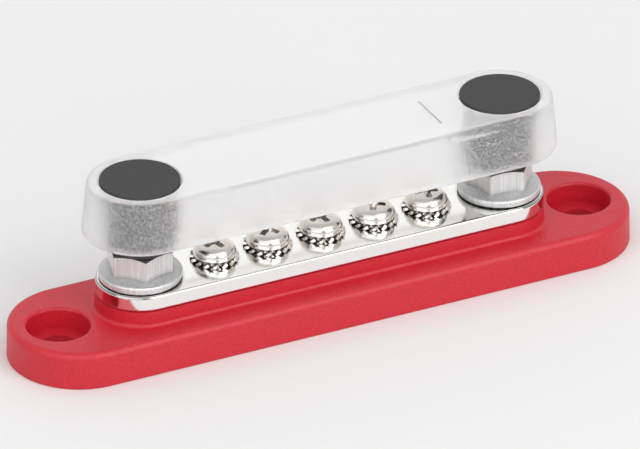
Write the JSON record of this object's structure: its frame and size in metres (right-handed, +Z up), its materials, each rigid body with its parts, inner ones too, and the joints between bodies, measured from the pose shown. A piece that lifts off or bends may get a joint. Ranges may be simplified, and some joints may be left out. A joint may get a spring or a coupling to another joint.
{
  "type": "power distribution block",
  "caption": "Long moulded base with a raised plated bus bar, a nut on a stud at each end, a row of terminal screws between them and a frosted press-on cover.",
  "frame": {"origin": "middle of the base's underside", "axes": "+X along the bus bar, +Z up through the studs, +Y across the bar; the two fixing holes lie on X"},
  "size_m": [0.113, 0.0242, 0.0303],
  "materials": {
    "base_plastic": "moulded, fine satin texture",
    "bar_plating": "tin plated and polished bright",
    "stud_steel": "stainless, rolled thread",
    "nut_steel": "stainless, cold formed, lightly brushed flats",
    "screw_nickel": "nickel plated, bright",
    "washer_nickel": "nickel plated, bright, stamped teeth",
    "cover_plastic": "translucent, clear top and frosted sides",
    "plug_rubber": "matte moulded rubber"
  },
  "bodies": {
    "base_assembly": {"base": "base_plastic", "bus_bar": "bar_plating", "stud_left": "stud_steel", "stud_right": "stud_steel"},
    "cover": {"cover": "cover_plastic", "cover_plug_left": "plug_rubber", "cover_plug_right": "plug_rubber"},
    "flange_nut_left": {"flange_nut_left": "nut_steel"},
    "flange_nut_right": {"flange_nut_right": "nut_steel"},
    "lock_washer_1": {"lock_washer_1": "washer_nickel"},
    "terminal_screw_1": {"terminal_screw_1": "screw_nickel"},
    "lock_washer_2": {"lock_washer_2": "washer_nickel"},
    "terminal_screw_2": {"terminal_screw_2": "screw_nickel"},
    "lock_washer_3": {"lock_washer_3": "washer_nickel"},
    "terminal_screw_3": {"terminal_screw_3": "screw_nickel"},
    "lock_washer_4": {"lock_washer_4": "washer_nickel"},
    "terminal_screw_4": {"terminal_screw_4": "screw_nickel"},
    "lock_washer_5": {"lock_washer_5": "washer_nickel"},
    "terminal_screw_5": {"terminal_screw_5": "screw_nickel"}
  },
  "joints": [
    {"name": "cover_lift", "type": "slide", "parent": "base_assembly", "child": "cover", "axis": [0, 0, 1], "range_m": [0, 0.03]},
    {"name": "nut_left_turn", "type": "hinge", "parent": "base_assembly", "child": "flange_nut_left", "pos_m": [-0.0332, 0, 0.015], "axis": [0, 0, 1], "continuous": true},
    {"name": "nut_right_turn", "type": "hinge", "parent": "base_assembly", "child": "flange_nut_right", "pos_m": [0.0332, 0, 0.015], "axis": [0, 0, 1], "continuous": true},
    {"name": "screw_1_rise", "type": "slide", "parent": "base_assembly", "child": "lock_washer_1", "axis": [0, 0, 1], "range_m": [0, 0.0056]},
    {"name": "screw_1_turn", "type": "hinge", "parent": "lock_washer_1", "child": "terminal_screw_1", "pos_m": [-0.0196, 0, 0.0128], "axis": [0, 0, 1], "range_deg": [0, 2880]},
    {"name": "screw_2_rise", "type": "slide", "parent": "base_assembly", "child": "lock_washer_2", "axis": [0, 0, 1], "range_m": [0, 0.0056]},
    {"name": "screw_2_turn", "type": "hinge", "parent": "lock_washer_2", "child": "terminal_screw_2", "pos_m": [-0.0098, 0, 0.0128], "axis": [0, 0, 1], "range_deg": [0, 2880]},
    {"name": "screw_3_rise", "type": "slide", "parent": "base_assembly", "child": "lock_washer_3", "axis": [0, 0, 1], "range_m": [0, 0.0056]},
    {"name": "screw_3_turn", "type": "hinge", "parent": "lock_washer_3", "child": "terminal_screw_3", "pos_m": [0, 0, 0.0128], "axis": [0, 0, 1], "range_deg": [0, 2880]},
    {"name": "screw_4_rise", "type": "slide", "parent": "base_assembly", "child": "lock_washer_4", "axis": [0, 0, 1], "range_m": [0, 0.0056]},
    {"name": "screw_4_turn", "type": "hinge", "parent": "lock_washer_4", "child": "terminal_screw_4", "pos_m": [0.0098, 0, 0.0128], "axis": [0, 0, 1], "range_deg": [0, 2880]},
    {"name": "screw_5_rise", "type": "slide", "parent": "base_assembly", "child": "lock_washer_5", "axis": [0, 0, 1], "range_m": [0, 0.0056]},
    {"name": "screw_5_turn", "type": "hinge", "parent": "lock_washer_5", "child": "terminal_screw_5", "pos_m": [0.0196, 0, 0.0128], "axis": [0, 0, 1], "range_deg": [0, 2880]}
  ],
  "couplings": [
    {"joint": "screw_1_turn", "follows": "screw_1_rise", "rad_per_m": 8975.9},
    {"joint": "screw_2_turn", "follows": "screw_2_rise", "rad_per_m": 8975.9},
    {"joint": "screw_3_turn", "follows": "screw_3_rise", "rad_per_m": 8975.9},
    {"joint": "screw_4_turn", "follows": "screw_4_rise", "rad_per_m": 8975.9},
    {"joint": "screw_5_turn", "follows": "screw_5_rise", "rad_per_m": 8975.9}
  ]
}
